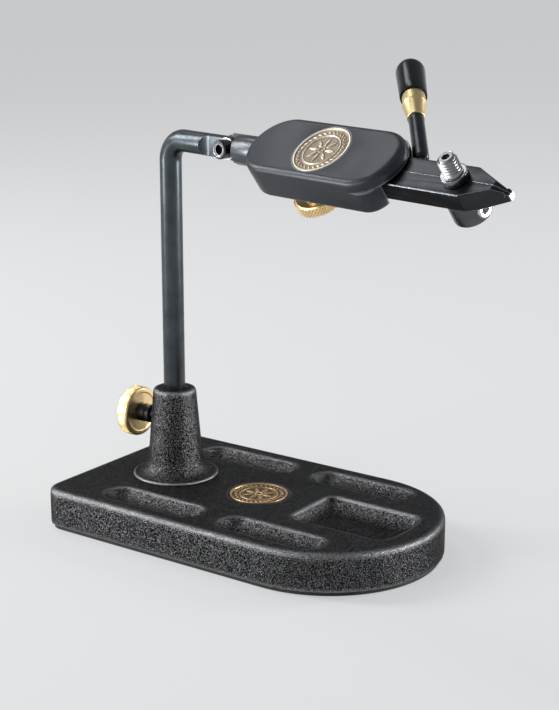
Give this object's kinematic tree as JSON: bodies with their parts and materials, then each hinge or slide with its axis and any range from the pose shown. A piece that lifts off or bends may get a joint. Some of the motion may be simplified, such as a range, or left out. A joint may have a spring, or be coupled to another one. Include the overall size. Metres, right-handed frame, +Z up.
{
  "type": "fly tying vise",
  "caption": "Table-top fly tying vise: heavy base with hook pockets, clamped post, tilting and turning head, and hook jaws opened by a cam lever.",
  "frame": {"origin": "on the table surface, under the axis of the upright post", "axes": "+X to the rounded end of the base, +Z up along the post, +Y across the base"},
  "size_m": [0.2182, 0.0994, 0.2067],
  "materials": {
    "coat": "textured black powder coat",
    "pad": "matte black rubber",
    "bronze": "antique bronze relief",
    "brass": "polished brass",
    "black_steel": "black oxide, satin",
    "steel": "stainless",
    "slate": "slate grey anodised, satin",
    "jaw_steel": "blued steel with bright tips",
    "grip": "black gloss",
    "black_plastic": "black",
    "bronze_bush": "sintered bronze",
    "nylon": "white"
  },
  "bodies": {
    "base": {"base_casting": "coat", "base_pad": "pad", "base_medallion": "bronze", "socket_bolt": "steel", "post_socket": "coat"},
    "clamp_slider": {"clamp_pad": "brass"},
    "clamp_handle": {"clamp_screw": "black_steel", "clamp_knob": "brass"},
    "post_carrier": {"post_end_cap": "black_plastic"},
    "post_arm": {"post": "black_steel"},
    "tilting_shaft": {"tilt_washer": "steel", "tilt_screw": "black_steel", "head_shaft": "black_steel", "shaft_retainer": "steel", "retainer_screw": "steel"},
    "head": {"shaft_bushing": "bronze_bush", "head_housing": "slate", "housing_medallion": "bronze", "housing_cover": "slate", "cover_screws": "steel", "jaw_pins": "steel", "near_spring": "steel", "far_spring": "steel", "cam_yoke": "steel", "cam_pin": "steel"},
    "tension_slider": {"friction_pad": "nylon"},
    "tension_handle": {"tension_screw": "steel", "tension_knob": "brass"},
    "near_jaw_set": {"near_jaw": "jaw_steel", "stud_screw": "steel", "stud_collar": "black_steel", "stud_boss": "black_steel", "boss_screw": "steel"},
    "far_jaw_set": {"far_jaw": "jaw_steel"},
    "lever": {"cam_barrel": "steel", "lever_rod": "black_steel", "lever_ferrule": "brass", "lever_grip": "grip"}
  },
  "joints": [
    {"name": "clamp_feed", "type": "slide", "parent": "base", "child": "clamp_slider", "axis": [-1, 0, 0], "range_m": [0, 0.0012]},
    {"name": "clamp_turn", "type": "hinge", "parent": "clamp_slider", "child": "clamp_handle", "pos_m": [-0.02, 0, 0.0437], "axis": [-1, 0, 0], "range_deg": [0, 541]},
    {"name": "post_lift", "type": "slide", "parent": "base", "child": "post_carrier", "axis": [0, 0, 1], "range_m": [0, 0.01]},
    {"name": "post_swivel", "type": "hinge", "parent": "post_carrier", "child": "post_arm", "pos_m": [0, 0, 0.05], "axis": [0, 0, 1], "continuous": true},
    {"name": "head_tilt", "type": "hinge", "parent": "post_arm", "child": "tilting_shaft", "pos_m": [0.03858, -0.0075, 0.1694], "axis": [0.1908, 0.9816, 0], "range_deg": [-40, 60]},
    {"name": "head_turn", "type": "hinge", "parent": "tilting_shaft", "child": "head", "pos_m": [0.07853, -0.01526, 0.1694], "axis": [0.9816, -0.1908, 0], "continuous": true},
    {"name": "tension_feed", "type": "slide", "parent": "head", "child": "tension_slider", "axis": [0.1122, 0.577, -0.809], "range_m": [0, 0.001]},
    {"name": "tension_turn", "type": "hinge", "parent": "tension_slider", "child": "tension_handle", "pos_m": [0.08028, -0.00363, 0.15322], "axis": [0.1122, 0.577, -0.809], "range_deg": [0, 451]},
    {"name": "lever_swing", "type": "hinge", "parent": "head", "child": "lever", "pos_m": [0.14156, -0.02642, 0.16792], "axis": [0.1122, 0.577, -0.809], "range_deg": [0, 55], "stiffness_Nm_per_rad": 0.08, "springref_deg": -22.92},
    {"name": "near_jaw_open", "type": "hinge", "parent": "head", "child": "near_jaw_set", "pos_m": [0.10046, -0.02299, 0.16693], "axis": [0.1122, 0.577, -0.809], "range_deg": [0, 1.6]},
    {"name": "far_jaw_open", "type": "hinge", "parent": "head", "child": "far_jaw_set", "pos_m": [0.10176, -0.01632, 0.17187], "axis": [-0.1122, -0.577, 0.809], "range_deg": [0, 1.6]}
  ],
  "couplings": [
    {"joint": "clamp_turn", "follows": "clamp_feed", "rad_per_m": 7854},
    {"joint": "tension_turn", "follows": "tension_feed", "rad_per_m": 7854},
    {"joint": "near_jaw_open", "follows": "lever_swing", "ratio": 0.0279},
    {"joint": "far_jaw_open", "follows": "lever_swing", "ratio": 0.0279}
  ]
}
